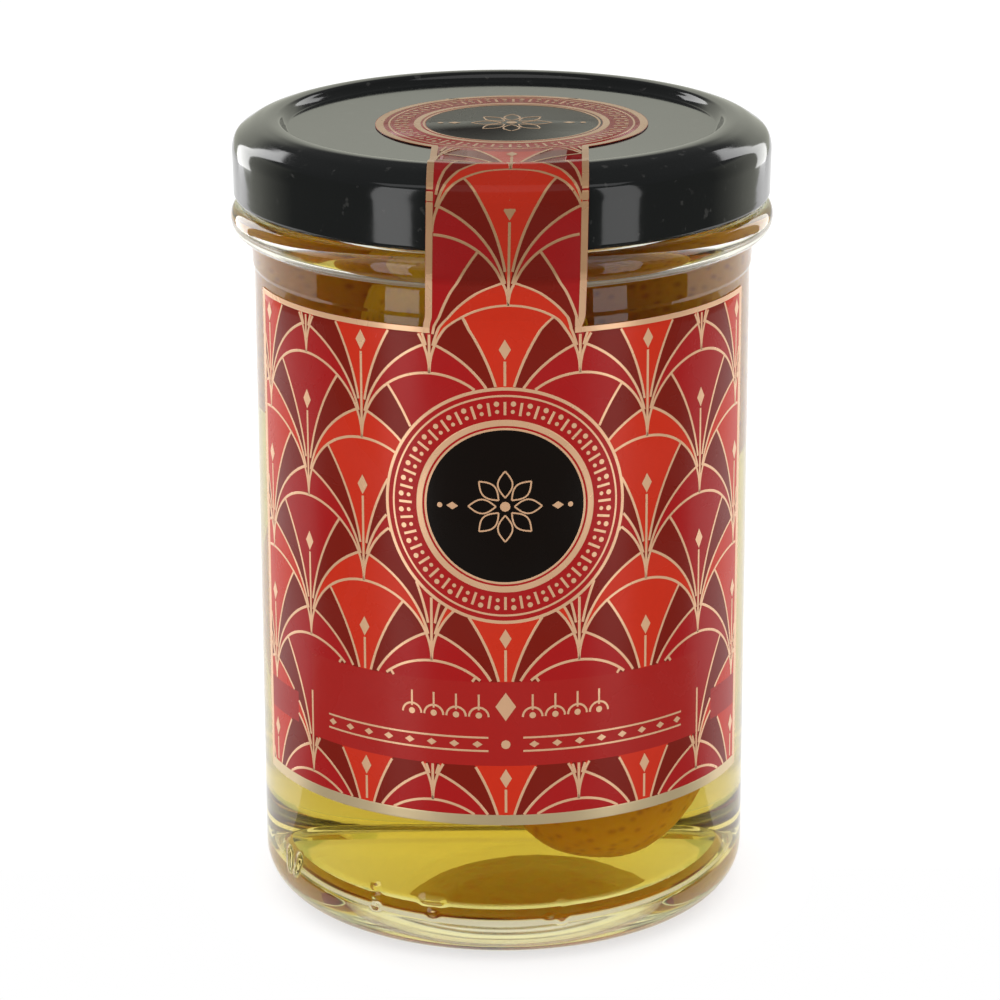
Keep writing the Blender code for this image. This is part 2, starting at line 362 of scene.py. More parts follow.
def jarOutline():
    g = glassJar
    body, neck, corner = bodyRadius / mm, g["neckRadius"], g["floorCorner"]
    ring, rim, inner = ringRadius / mm, rimTop / mm, (bodyRadius - wallThickness) / mm
    lip = (neck - g["mouthRadius"]) / 2
    inside = pushedUp(g["floorLow"], floorHeight / mm)
    inside += arc((inner - corner, g["floorLow"] + corner), (corner, corner), -90, 0, 14)
    inside += innerWall()
    mouth = arc((g["mouthRadius"] + lip, rim - g["rimRound"]), (lip, g["rimRound"]), 180, 0, 12)
    bead, slope = g["beadRadius"], g["beadSlope"]
    finish = rounded([(neck, rim - 1.5, 0), (neck, g["beadHigh"], 0.4), (bead, g["beadHigh"] - slope, 0.4),
                      (bead, g["beadLow"] + slope, 0.4), (neck, g["beadLow"], 0.4),
                      (neck, g["neckFoot"], 0.5), (33.0, 94.3, 0)], 4)
    centre = ring - g["ringRound"]
    over = arc((centre, g["ringHeight"]), (g["ringRound"], g["ringOver"]), 88, 0, 12)
    under = arc((centre, g["ringHeight"] - g["ringFlat"]), (g["ringRound"], g["ringUnder"]), 0, -70, 12)
    fillet = rounded([(g["creaseRadius"], g["creaseHeight"], 0),
                      (body + g["filletReach"], g["filletEnd"], 0.8),
                      (body + g["filletRise"], g["filletStart"], 0.5),
                      (body, g["wallTop"], 0.3), (body, 84.0, 0)], 5)
    wall = spaced([(body, 83.9), (body, 13.5)], 8.0)
    heelTop = spaced([(body, g["heelTop"]), (body, g["heelRadius"])], 0.4)[:-1]
    heel = arc((body - g["heelRadius"], g["heelRadius"]), (g["heelRadius"],) * 2, 0, -90, 26)
    foot = [(g["footInner"] + 0.4, 0.0), (g["footInner"], 0.12)]
    foot += reversed(pushedUp(g["pushFoot"], g["pushUp"]))
    return inside, mouth + finish + over + under + fillet + wall + heelTop + heel + foot


def makeJar():
    g = glassJar
    inside, outside = jarOutline()
    profile = [(r * mm, z * mm) for r, z in inside + outside]
    firstOuter = len(inside)

    def shift(i, angle, radius, height):
        if i < firstOuter:
            return radius, height
        z, r = height / mm, radius / mm
        lift = markLift(angle, z) if z < g["heelTop"] else 0.0
        if z < g["ribTop"] and r > g["ribInner"]:       # fine moulded ribs where the heel meets the foot
            fade = min(1.0, (g["ribTop"] - z) / 0.5) * min(1.0, (r - g["ribInner"]) / 0.4)
            lift -= g["ribRelief"] * fade * (0.5 + 0.5 * math.cos(g["ribs"] * angle))
        out = lift * mm
        # on the heel the marks stand out along the surface's normal
        slope = min(1.0, z / g["heelRadius"])
        return radius + out * max(slope, 0.35), height - out * (1 - slope) * (z > 1.4)

    mesh = turnedMesh("clearJar", profile, g["segments"], shift)
    for face in mesh.polygons:      # the faces that the syrup wets get the second material
        x, y, z = face.center
        inner = math.hypot(x, y) < bodyRadius - wallThickness + 0.3 * mm
        face.material_index = int(inner and z < syrupTop and face.normal.dot(Vector((-x, -y, 0.02))) > 0)
    return mesh


def glassMaterial(name, ior):
    material, tree, shader = newMaterial(name)
    placeHandling(tree, shader, glassJar["gloss"], 0.03, 45.0)
    setInputs(tree, shader, {"Base Color": (1, 1, 1, 1), "IOR": ior, "Transmission Weight": 1.0})
    stretch = addNode(tree, "ShaderNodeMapping")
    setInputs(tree, stretch, {"Vector": objectPlace(tree), "Scale": (1.0, 1.0, 0.35)})
    ripple = addNoise(tree, {"Scale": 70.0, "Detail": 1.5}, stretch.outputs["Vector"])
    addBump(tree, shader, ripple, 0.12, 0.35)
    absorbLight(tree, glassJar["tint"], glassJar["tintDensity"])
    return material


jarPiece = addPiece("clearJar", makeJar(), "glass", "jar")
jarPiece.data.materials.append(glassMaterial("flintGlass", glassJar["ior"]))
jarPiece.data.materials.append(glassMaterial("wettedGlass", glassJar["ior"] / syrupIor))
print("glass jar made")


# Syrup: fills the jar and reaches just into its wall, whose wetted faces bend the light for both
syrup = dict(
    intoWall=0.12, segments=128,
    colour=(0.875, 0.77, 0.10), density=63.0,
)


def makeSyrup():
    into = syrup["intoWall"]
    inner = (bodyRadius - wallThickness) / mm + into
    low = glassJar["floorLow"] - into
    corner = glassJar["floorCorner"]
    outline = [(0.0, syrupTop / mm)]
    outline += [(r, z) for r, z in reversed(innerWall(into)) if z < syrupTop / mm + 0.001]
    outline += arc((inner - corner, low + corner), (corner, corner), 0, -90, 14)
    outline += reversed(pushedUp(low, floorHeight / mm - into))
    return turnedMesh("syrup", [(r * mm, z * mm) for r, z in outline], syrup["segments"])


def syrupMaterial():
    material, tree, shader = newMaterial("rumSyrup")
    setInputs(tree, shader, {"Base Color": (1, 1, 1, 1), "Roughness": 0.0, "IOR": 1.0,
                             "Transmission Weight": 1.0})
    absorbLight(tree, syrup["colour"], syrup["density"])
    return material


syrupPiece = addPiece("syrup", makeSyrup(), "glass")
syrupPiece.data.materials.append(syrupMaterial())
print("syrup poured")


# Babas: tall sponge cakes, three to a layer
babas = dict(
    radius=13.2, circle=15.4, sides=180, rings=120, roundness=2.25, lump=0.5,
    pore=0.1, poreSize=1.5, poreReach=0.45, swell=0.35, swellScale=0.16, grain=0.07, grainScale=1.1, sink=0.1,
    # the last colour on this line and on the next is painted shade, laid into the sponge's pores
    crust=srgb(232, 152, 8), crumb=srgb(240, 184, 30), paintedPoreShade=srgb(190, 106, 6),
    # the colours on the next line and the cakes it lists give a lighter copy of the sponge: painted light,
    # for the rear cake whose underside, mirrored in the base, gets little light
    paintedLightCrust=srgb(255, 208, 80), paintedLightCrumb=srgb(255, 222, 110), paintedLightPoreShade=srgb(238, 164, 50), paintedLightCakes=(1,),
    translucent=0.7, glowDepth=8.0, glowColour=(1.0, 0.6, 0.25),
)
# each cake's place round the jar in degrees, its bottom and its height in mm, and its lean to the right
cakePlaces = [
    dict(turn=60, base=7.4, height=42.0, lean=9.0),
    dict(turn=172, base=5.6, height=44.0, lean=0.0),
    dict(turn=-75, base=20.5, height=37.5, lean=0.0),
    dict(turn=-12, base=58.0, height=37.5, lean=0.0),
    dict(turn=108, base=55.0, height=40.0, lean=0.0),
    dict(turn=-132, base=58.8, height=37.5, lean=0.0),
]


def babaMesh(name, height, seed):
    k = babas
    draw = random.Random(seed)
    fullTurn = 6.283
    waves = [(w, draw.uniform(0, fullTurn), draw.uniform(0, fullTurn)) for w in (2, 3, 4)]
    apart = Vector((17.3 * seed, 5.1 * seed, 9.7 * seed))       # so that no two cakes are alike
    work = bmesh.new()
    rings = []
    for i in range(k["rings"] + 1):
        level = (1 - math.cos(math.pi * i / k["rings"])) / 2
        t = 2 * level - 1
        span = max(0.0, 1 - abs(t) ** k["roundness"]) ** (1 / k["roundness"])
        if i in (0, k["rings"]):
            rings.append([work.verts.new((0, 0, height * level * mm))])
            continue
        ring = []
        for j in range(k["sides"]):
            a = 2 * math.pi * j / k["sides"]
            bump = sum(math.sin(w * a + p + 3 * t * math.sin(q)) for w, p, q in waves) / len(waves)
            r = (k["radius"] - k["lump"] + k["lump"] * bump) * span
            spot = Vector((r * math.cos(a), r * math.sin(a), height * level))
            swell = noise.noise(spot * k["swellScale"] + apart) * k["swell"]
            near = noise.voronoi(spot / k["poreSize"] + apart)[0][0]
            pit = max(0.0, k["poreReach"] - near) * k["pore"] / k["poreReach"]
            grain = noise.noise(spot * k["grainScale"] + apart) * k["grain"]
            out = spot.copy()
            out.z = (out.z - height / 2) * 0.6
            out.normalize()
            spot += out * (swell - pit + grain - k["sink"])
            ring.append(work.verts.new(spot * mm))
        rings.append(ring)
    joinRings(work, rings[::-1])
    return finishMesh(name, work)


def spongeMaterial(name, crust, crumb, paintedPoreShade):
    material, tree, shader = newMaterial(name)
    cloud = addNoise(tree, {"Scale": 130.0, "Detail": 6.0, "Roughness": 0.62})
    cells = addNode(tree, "ShaderNodeTexVoronoi")
    setInputs(tree, cells, {"Vector": objectPlace(tree), "Scale": 650.0})
    pores = cells.outputs["Distance"]
    # painted shade: the colour darkens towards the middle of each pore, where the bump sinks
    poreShadeMask = mapRange(tree, pores, 0.1, 0.42, 0.55, 0.0)
    setInputs(tree, shader, {
        "Base Color": mixColour(tree, poreShadeMask, mixColour(tree, cloud, crust, crumb), paintedPoreShade),
        "Roughness": 0.6, "Specular IOR Level": 0.1, "Subsurface Weight": babas["translucent"],
        "Subsurface Radius": babas["glowColour"], "Subsurface Scale": babas["glowDepth"] * mm})
    addBump(tree, shader, pores, 0.5, 0.25)
    return material


def placeBabas():
    circle = babas["circle"]
    sponge = spongeMaterial("soakedSponge", babas["crust"], babas["crumb"], babas["paintedPoreShade"])
    # painted light: a lighter copy of the sponge material for the cakes listed in the babas table
    pale = spongeMaterial("paintedLightSponge", babas["paintedLightCrust"], babas["paintedLightCrumb"], babas["paintedLightPoreShade"])
    draw = random.Random(7)
    for i, place in enumerate(cakePlaces):
        name = f"baba_{i}"
        cake = addPiece(name, babaMesh(name, place["height"], i), "sponge", "babas")
        around, lean = math.radians(place["turn"]), math.radians(place["lean"])
        back = place["height"] / 2 * math.sin(lean)     # the cake leans about its middle
        x, y = circle * math.sin(around) - back, -circle * math.cos(around)
        cake.location = (x * mm, y * mm, place["base"] * mm)
        cake.rotation_euler = (0, lean, draw.uniform(0, math.pi))
        cake.data.materials.append(pale if i in babas["paintedLightCakes"] else sponge)


placeBabas()
print("cakes placed")


# Lid
lid = dict(
    segments=256, thickness=0.6, curlInner=33.5, shoulder=102.0, crestRadius=30.0,
    panelRadius=27.7, panelHeight=103.7, colour=(0.0075, 0.0082, 0.0082), gloss=0.07,
    dust=(0.35, 0.34, 0.32), lacquer=srgb(240, 236, 226), lacquerSpeck=srgb(222, 216, 204),
    insideRadius=31.0, insideTop=103.0,
)


def lidOutline():
    k = lid
    outer, low, high = lidRadius / mm, skirtBottom / mm, crestHeight / mm
    within = outer - k["thickness"]
    curl, shoulder, crest = k["curlInner"], k["shoulder"], k["crestRadius"]
    panel, level = k["panelRadius"], k["panelHeight"]
    top = [(0.0, level, 0), (panel, level, 0.5), (panel + 0.5, level + 0.4, 9), (crest - 1.3, high - 0.1, 9),
           (crest + 0.2, high + 0.03, 9), (crest + 2.1, high - 0.5, 9)]
    skirt = [(outer - 1.5, shoulder + 1.65, 9), (outer - 0.45, shoulder + 0.9, 9), (outer, shoulder - 0.5, 9),
             (outer - 0.08, low + 2.8, 9), (outer - 0.1, low + 1.4, 0.6), (outer - 0.1, low + 0.5, 0.5)]
    edge = [(outer - 0.45, low, 0.4), (curl + 0.2, low, 0.3), (curl, low + 0.4, 0.2), (curl, low + 1.4, 0.3)]
    inside = [(within - 0.1, low + 2.2, 0.3), (within, shoulder - 0.6, 0.3),
              (within - 0.5, shoulder + 0.4, 0.2), (crest + 1.8, high - 1.15, 0.4),
              (crest - 0.9, high - 0.6, 0.4), (panel + 0.6, level - 0.5, 0.2), (0.0, level - 0.6, 0)]
    return [(r * mm, z * mm) for r, z in rounded(top + skirt + edge + inside, 7)]


def enamelMaterial():
    material, tree, shader = newMaterial("blackEnamel")
    specks = placeHandling(tree, shader, lid["gloss"], 0.05, 55.0, 700.0)
    colour = mixColour(tree, calc(tree, "MULTIPLY", specks, 0.06), lid["colour"], lid["dust"])
    tree.links.new(colour, shader.inputs["Base Color"])
    addBump(tree, shader, addNoise(tree, {"Scale": 420.0}), 0.06, 0.05)
    return material


def lacquerMaterial():
    material, tree, shader = newMaterial("paleLacquer")
    specks = placeHandling(tree, shader, 0.3, 0.1, 120.0)
    tree.links.new(mixColour(tree, specks, lid["lacquer"], lid["lacquerSpeck"]), shader.inputs["Base Color"])
    return material


def lacquerInside(mesh):
    # the faces that look down or at the axis are the tinplate's lacquered inner side
    for face in mesh.polygons:
        x, y, z = face.center
        r = math.hypot(x, y)
        within = r > lid["insideRadius"] * mm and z < lid["insideTop"] * mm
        toAxis = face.normal.dot(Vector((x, y, 0))) < -0.5 * r and within
        down = face.normal.z < -0.3 and r < lidRadius - 0.8 * mm and z > skirtBottom + 0.6 * mm
        face.material_index = int(toAxis or down)


lidPiece = addPiece("twistLid", turnedMesh("twistLid", lidOutline(), lid["segments"]), "enamel", "lid")
lidPiece.data.materials.append(enamelMaterial())
lidPiece.data.materials.append(lacquerMaterial())
lacquerInside(lidPiece.data)
print("lid made")


# Sticker: the wrap, the strip over the lid's edge and the round seal
sticker = dict(
    halfAngle=71.0, stand=0.05, thickness=0.09, printTurn=0.3, stripStart=0.35, stripLean=0.0175,
    crimson=srgb(150, 18, 18), dark=srgb(112, 21, 9), orange=srgb(183, 40, 17), ink=srgb(16, 12, 9), ior=1.28,
    # the three values after fibre are painted shade: how dark the print is made over the ring and the lid,
    # and where that starts and fades in
    banner=srgb(151, 27, 23), fibre=(0.02, 0.005, 0.004), paintedPrintShade=0.72, paintedPrintShadeStart=6.5, paintedPrintShadeRamp=1.2,
    back=srgb(228, 224, 214), backShade=srgb(212, 207, 196),
    bottomBorder=1.4, sideBorder=1.0, topBorder=0.7, stripBorder=0.85,
    borderColour=srgb(222, 200, 160), borderShade=srgb(206, 184, 142),
    fanRadius=9.4, fanRise=3.1,
    medallionHeight=42.6, medallionRadius=15.3, discRadius=10.1,
    bannerHalf=28.2, bannerLow=8.1, bannerHigh=19.4,
    panelIn=31.4, panelOut=39.3, panelLow=8.9, panelHigh=13.1,
    sealBand=16.5, sealDisc=11.4,
)
wrapHalf = sticker["halfAngle"] * math.radians(1) * bodyRadius / mm     # half the wrap's width in mm


def stripPath():
    # radius and height of the strip from the label's top edge to the lid's panel, in mm
    k, g = lid, glassJar
    outer, high, ring = lidRadius / mm, crestHeight / mm, ringRadius / mm
    body, top = bodyRadius / mm + sticker["stand"], labelTop / mm
    crest, panel, level = k["crestRadius"], k["panelRadius"], k["panelHeight"]
    bend, off = g["ringRound"], 0.05        # off is how far the strip clears the ring
    centre = ring - bend
    hug = arc((centre, g["ringHeight"] - g["ringFlat"]), (bend + off, g["ringUnder"] + off), -28, 0, 4)
    hug += arc((centre, g["ringHeight"]), (bend + off, g["ringOver"] + off), 0, 22, 4)
    corners = [(body, top, 0), (body + 0.25, top + 1.2, 1.0), (ring - 0.95, g["mouthStart"], 1.0)]
    corners += [(r, z, 0) for r, z in hug]
    corners += [(outer + 0.08, 95.8, 1.0), (outer + 0.02, 97.7, 0.8), (outer + 0.3, 101.3, 1.0),
                (outer + 0.02, 102.5, 0.9), (outer - 0.7, 103.3, 0.9), (outer - 1.5, 103.8, 0.9),
                (crest + 2.13, high - 0.44, 1.6), (crest, high + 0.06, 2.0), (crest - 1.4, high - 0.06, 0.8),
                (panel - 1.6, level + 0.09, 1.5), (panel - 3.0, level + 0.06, 0)]
    return spaced(rounded(corners, 6), 0.4)


strip = stripPath()
stripLengths = [0.0]
for a, b in zip(strip, strip[1:]):
    stripLengths.append(stripLengths[-1] + math.dist(a, b))
wrapHeight = (labelTop - labelBottom) / mm
stripEnd = wrapHeight + stripLengths[-1]
sealCentre = stripEnd + strip[-1][0]        # the print's height at the lid's axis


def stripShift(v):
    # the strip and the seal were stuck on a little askew, further to the right the higher they go
    return 0.0 if v <= wrapHeight else sticker["stripStart"] + sticker["stripLean"] * (v - wrapHeight)


def onSticker(s, v, lift=0.0):
    # a spot of the print, in mm across and up, as a place in space; lift is above the paper's inner face
    if v <= wrapHeight:
        r = bodyRadius / mm + sticker["stand"] + lift
        a = s / (bodyRadius / mm)
        return Vector((r * math.sin(a), -r * math.cos(a), labelBottom / mm + v)) * mm
    if v >= stripEnd:
        return Vector((s + stripShift(v), v - sealCentre, strip[-1][1] + lift)) * mm
    length = v - wrapHeight
    i = min(len(strip) - 2, max(0, next(k for k in range(len(strip)) if stripLengths[k + 1] >= length)))
    t = (length - stripLengths[i]) / (stripLengths[i + 1] - stripLengths[i])
    r = strip[i][0] * (1 - t) + strip[i + 1][0] * t
    z = strip[i][1] * (1 - t) + strip[i + 1][1] * t
    back = Vector((strip[i + 1][0] - strip[i][0], strip[i + 1][1] - strip[i][1])).normalized()
    r, z = r + back.y * lift, z - back.x * lift
    x = s + stripShift(v) * min(1.0, length / 1.5)
    return Vector((x, -math.sqrt(r * r - x * x), z)) * mm


def makePaper():
    work = bmesh.new()
    edge, seal = stripHalf / mm, sealRadius / mm
    acrossCount, sideCount, upCount, rimCount = 30, 36, 40, 96
    across = [edge * (2 * i / acrossCount - 1) for i in range(acrossCount + 1)]
    side = [edge + (wrapHalf - edge) * i / sideCount for i in range(1, sideCount + 1)]
    spots = {}

    def place(s, v):
        vert = work.verts.new(onSticker(s, v))
        spots[vert] = (s, v)
        return vert

    def row(values, v):
        return [place(s, v) for s in values]

    def fill(lower, upper):
        for i in range(len(lower) - 1):
            work.faces.new((lower[i], lower[i + 1], upper[i + 1], upper[i]))

    columns = [-s for s in reversed(side)] + across + side
    rows = [row(columns, wrapHeight * i / upCount) for i in range(upCount + 1)]
    for lower, upper in zip(rows, rows[1:]):
        fill(lower, upper)
    previous = rows[-1][len(side):len(side) + len(across)]
    chord = math.sqrt(seal ** 2 - edge ** 2)
    for v in [wrapHeight + length for length in stripLengths[1:]] + [sealCentre - chord]:
        following = row(across, v)
        fill(previous, following)
        previous = following
    start = math.asin(edge / seal)
    rim = []
    for i in range(1, rimCount):
        a = start + (2 * math.pi - 2 * start) * i / rimCount
        rim.append(place(seal * math.sin(a), sealCentre - seal * math.cos(a)))
    work.faces.new(previous + rim)
    layer = work.loops.layers.uv.new("printMap")
    for face in work.faces:
        for loop in face.loops:
            loop[layer].uv = spots[loop.vert]
    work.normal_update()
    return finishMesh("stickerPaper", work)


def fanPrintGroup():
    # a scale pattern of ribbed fans; gives how far a rib is from the fan's middle, and which row it is in
    group, source, out = newGroup("fanPrint", {"Across": 0.0, "Up": 0.0, "Radius": 9.0}, ("Rib", "Odd Row"))
    s, v, r = (source.outputs[name] for name in ("Across", "Up", "Radius"))

    def add(a, b):
        return calc(group, "ADD", a, b)

    def times(a, b):
        return calc(group, "MULTIPLY", a, b)

    level = calc(group, "DIVIDE", v, r)
    rowA = calc(group, "FLOOR", level)
    rise = times(calc(group, "SUBTRACT", level, rowA), r)
    width = times(r, 2.0)

    def nearest(row):
        odd = calc(group, "FLOORED_MODULO", row, 2.0)
        moved = add(add(s, times(odd, r)), r)
        return calc(group, "SUBTRACT", calc(group, "FLOORED_MODULO", moved, width), r), odd

    xA, oddA = nearest(rowA)
    xB, oddB = nearest(add(rowA, 1.0))
    inside = calc(group, "LESS_THAN", calc(group, "SQRT", squareSum(group, xA, rise)), r)

    def choose(a, b):
        return add(times(inside, a), times(calc(group, "SUBTRACT", 1.0, inside), b))

    x = choose(xA, xB)
    y = choose(add(rise, r), rise)
    bend = calc(group, "DIVIDE", times(width, x), calc(group, "MAXIMUM", squareSum(group, x, y), 0.0001))
    setInputs(group, out, {"Rib": calc(group, "ABSOLUTE", bend), "Odd Row": choose(oddA, oddB)})
    return group


def paperMaterial():
    k = sticker
    material, tree, shader = newMaterial("printedPaper")
    spot = splitPlace(tree, addNode(tree, "ShaderNodeUVMap", uv_map="printMap").outputs["UV"])
    across = calc(tree, "SUBTRACT", spot["X"], k["printTurn"])
    up = spot["Y"]
    side = calc(tree, "ABSOLUTE", across)

    def circle(height, radius):
        reach = squareSum(tree, across, calc(tree, "SUBTRACT", up, height))
        return calc(tree, "LESS_THAN", reach, radius * radius)

    def between(value, low, high):
        return calc(tree, "MULTIPLY", calc(tree, "GREATER_THAN", value, low),
                    calc(tree, "LESS_THAN", value, high))

    def box(inner, outer, low, high):
        return calc(tree, "MULTIPLY", between(side, inner, outer), between(up, low, high))

    fans = addNode(tree, "ShaderNodeGroup", node_tree=fanPrintGroup())
    setInputs(tree, fans, {"Across": across, "Up": calc(tree, "SUBTRACT", up, k["fanRise"]),
                           "Radius": k["fanRadius"]})
    inner = calc(tree, "LESS_THAN", fans.outputs["Rib"], 1 / 3)
    outer = calc(tree, "GREATER_THAN", fans.outputs["Rib"], 2 / 3)
    even = mixColour(tree, outer, mixColour(tree, inner, k["dark"], k["orange"]), k["crimson"])
    odd = mixColour(tree, outer, mixColour(tree, inner, k["dark"], k["crimson"]), k["orange"])
    colour = mixColour(tree, fans.outputs["Odd Row"], even, odd)
    for shape, paint in (
            (circle(k["medallionHeight"], k["medallionRadius"]), "crimson"),
            (circle(k["medallionHeight"], k["discRadius"]), "ink"),
            (box(-1.0, k["bannerHalf"], k["bannerLow"], k["bannerHigh"]), "banner"),
            (box(k["panelIn"], k["panelOut"], k["panelLow"], k["panelHigh"]), "banner"),
            (circle(sealCentre, sealRadius / mm), "crimson"),
            (circle(sealCentre, k["sealDisc"]), "ink")):
        colour = mixColour(tree, shape, colour, k[paint])

    # painted shade: over the ring and the black lid the print's colour is darkened, standing in for the
    # dimmer light that falls on it there
    start = wrapHeight + k["paintedPrintShadeStart"]
    paintedShadeScale = mapRange(tree, up, start, start + k["paintedPrintShadeRamp"], 1.0, k["paintedPrintShade"])
    shade = addNode(tree, "ShaderNodeVectorMath", operation="SCALE")
    setInputs(tree, shade, {"Vector": colour, "Scale": paintedShadeScale})
    fibre = addNoise(tree, {"Scale": 1400.0, "Detail": 4.0})
    speckled = mixColour(tree, calc(tree, "MULTIPLY", fibre, 0.10), shade.outputs[0], k["fibre"])
    setInputs(tree, shader, {"Base Color": speckled, "IOR": k["ior"]})
    placeHandling(tree, shader, 0.24, 0.10, 80.0)
    addBump(tree, shader, fibre, 0.12, 0.03)
    return material


def mottledMaterial(name, scale, light, dark, roughness, metallic=0.0):
    material, tree, shader = newMaterial(name)
    colour = mixColour(tree, addNoise(tree, {"Scale": scale}), light, dark)
    setInputs(tree, shader, {"Base Color": colour, "Roughness": roughness, "Metallic": metallic})
    return material


# Foil lines of the print, laid on the paper as thin raised bands


foil = dict(
    lift=0.022, lineWidth=0.34, thinWidth=0.26, step=0.35, ribGap=0.45,
    metallic=0.4, light=srgb(232, 188, 150), deep=srgb(218, 170, 130),
    # painted shade: upwards over the ring and the lid the foil's colour is darkened towards a dull brown,
    # between these heights
    paintedFoilShade=srgb(140, 104, 66), paintedFoilShadeShare=0.7, paintedFoilShadeFrom=91.1, paintedFoilShadeTo=92.6,
)


def foilMaterial():
    k = foil
    material, tree, shader = newMaterial("goldFoil")
    gold = mixColour(tree, addNoise(tree, {"Scale": 300.0}), k["light"], k["deep"])
    # painted shade: the foil's colour is darkened with height over the ring and the lid
    height = splitPlace(tree, objectPlace(tree))["Z"]
    high = mapRange(tree, height, k["paintedFoilShadeFrom"] * mm, k["paintedFoilShadeTo"] * mm)
    colour = mixColour(tree, calc(tree, "MULTIPLY", high, k["paintedFoilShadeShare"]), gold, k["paintedFoilShade"])
    setInputs(tree, shader, {"Base Color": colour, "Metallic": k["metallic"]})
    placeHandling(tree, shader, 0.24, 0.12, 90.0)
    return material


def foilBand(work, path, width, closed=False, raised=0.0):
    # path is a list of print places; the band is flat on top with sloping sides
    if len(path) < 2:
        return
    base = sticker["thickness"] + raised
    count = len(path)
    rows = []
    for i in range(count):
        a = path[i - 1] if i or closed else path[i]
        b = path[(i + 1) % count] if i < count - 1 or closed else path[i]
        along = Vector((b[0] - a[0], b[1] - a[1]))
        if along.length < 1e-9:
            along = Vector((1, 0))
        side = Vector((-along.y, along.x)).normalized()
        here = Vector(path[i])
        row = []
        for reach, lift in ((0.5, 0.0), (0.42, foil["lift"]), (-0.42, foil["lift"]), (-0.5, 0.0)):
            spot = here + side * width * reach
            row.append(work.verts.new(onSticker(spot.x, spot.y, base + lift)))
        rows.append(row)
    pairs = list(zip(rows, rows[1:])) + ([(rows[-1], rows[0])] if closed else [])
    for first, second in pairs:
        for j in range(3):
            work.faces.new((first[j], first[j + 1], second[j + 1], second[j]))


def foilPlate(work, outline):
    # a small filled shape round a middle point, so that it follows the bend of the glass
    base = sticker["thickness"] + foil["lift"]
    s, v = (sum(spot[i] for spot in outline) / len(outline) for i in (0, 1))
    middle = work.verts.new(onSticker(s, v, base))
    rim = [work.verts.new(onSticker(s, v, base)) for s, v in outline]
    for a, b in zip(rim, rim[1:] + rim[:1]):
        work.faces.new((middle, a, b))


def curve(centre, radius, start, end):
    span = abs(math.radians(end - start)) * radius
    return arc(centre, (radius, radius), start, end, max(3, math.ceil(span / foil["step"])))


def fullRing(work, centre, radius, width):
    foilBand(work, curve(centre, radius, 0, 360)[:-1], width, closed=True)


def lozenge(work, s, v, wide, tall):
    foilPlate(work, [(s - wide / 2, v), (s, v - tall / 2), (s + wide / 2, v), (s, v + tall / 2)])


def bead(work, s, v, radius):
    foilPlate(work, arc((s, v), (radius, radius), 0, 360, 12)[:-1])


def freePrint(s, v):
    # whether the fan pattern is printed here
    k = sticker
    x = abs(s - k["printTurn"])
    if v < k["bottomBorder"] or math.hypot(x, v - k["medallionHeight"]) < k["medallionRadius"]:
        return False
    if x < k["bannerHalf"] and k["bannerLow"] < v < k["bannerHigh"]:
        return False
    if k["panelIn"] < x < k["panelOut"] and k["panelLow"] < v < k["panelHigh"]:
        return False
    if v > wrapHeight - k["topBorder"]:
        inStrip = abs(s) < stripHalf / mm - k["stripBorder"] + 0.1
        return inStrip and math.hypot(s, v - sealCentre) > k["sealBand"]
    return abs(s) < wrapHalf - k["sideBorder"]


def clippedBand(work, path):
    # lays only the stretches of the path that the print leaves free
    run = []
    for spot in path:
        if freePrint(*spot):
            run.append(spot)
            continue
        foilBand(work, run, foil["lineWidth"])
        run = []
    foilBand(work, run, foil["lineWidth"])


def fanLines(work):
    k, step = sticker, foil["step"]
    r = k["fanRadius"]
    rowCount = math.ceil((sealCentre - k["fanRise"]) / r) + 1
    for row in range(-1, rowCount):
        v0 = k["fanRise"] + row * r
        for column in range(-3, 4):
            s0 = k["printTurn"] + (2 * column - row % 2) * r
            clippedBand(work, curve((s0, v0), r, 0, 180))
            for bend in (-2 / 3, -1 / 3, 1 / 3, 2 / 3):
                c = r / bend
                first = math.sqrt(2 * foil["ribGap"] / abs(c))      # where it has left the needle
                last = 2 * math.atan(abs(bend))
                count = max(4, math.ceil(abs(c) * last / step))
                turns = [first + (last - first) * i / count for i in range(count + 1)]
                rib = [(s0 + c * (1 - math.cos(a)), v0 - r + abs(c) * math.sin(a)) for a in turns]
                clippedBand(work, rib)
            clippedBand(work, [(s0, v0 - r + i * step) for i in range(int(1.25 * r / step))])
            tip = v0 + 0.35 * r
            if freePrint(s0, tip + 1.3) and freePrint(s0 - 0.8, tip) and freePrint(s0 + 0.8, tip):
                lozenge(work, s0, tip, 1.5, 2.6)


def borders(work):
    k = sticker
    edge, seal = stripHalf / mm, sealRadius / mm
    step = foil["step"] * 2

    def straight(a, b):
        return spaced([a, b], step)

    for sign in (-1, 1):
        s = sign * (wrapHalf - k["sideBorder"] / 2)
        foilBand(work, straight((s, 0.2), (s, wrapHeight - 0.05)), k["sideBorder"])
        top = wrapHeight - k["topBorder"] / 2
        inner = sign * (edge - k["stripBorder"])
        foilBand(work, straight((inner, top), (sign * wrapHalf, top)), k["topBorder"])
        s = sign * (edge - k["stripBorder"] / 2)
        join = sealCentre - math.sqrt((seal - 0.5) ** 2 - s ** 2)
        foilBand(work, straight((s, wrapHeight - k["topBorder"]), (s, join)), k["stripBorder"], raised=0.02)
    start = math.degrees(math.asin((edge - 0.3) / seal))
    foilBand(work, curve((0, sealCentre), seal - 0.55, -90 + start, 270 - start), 1.0)


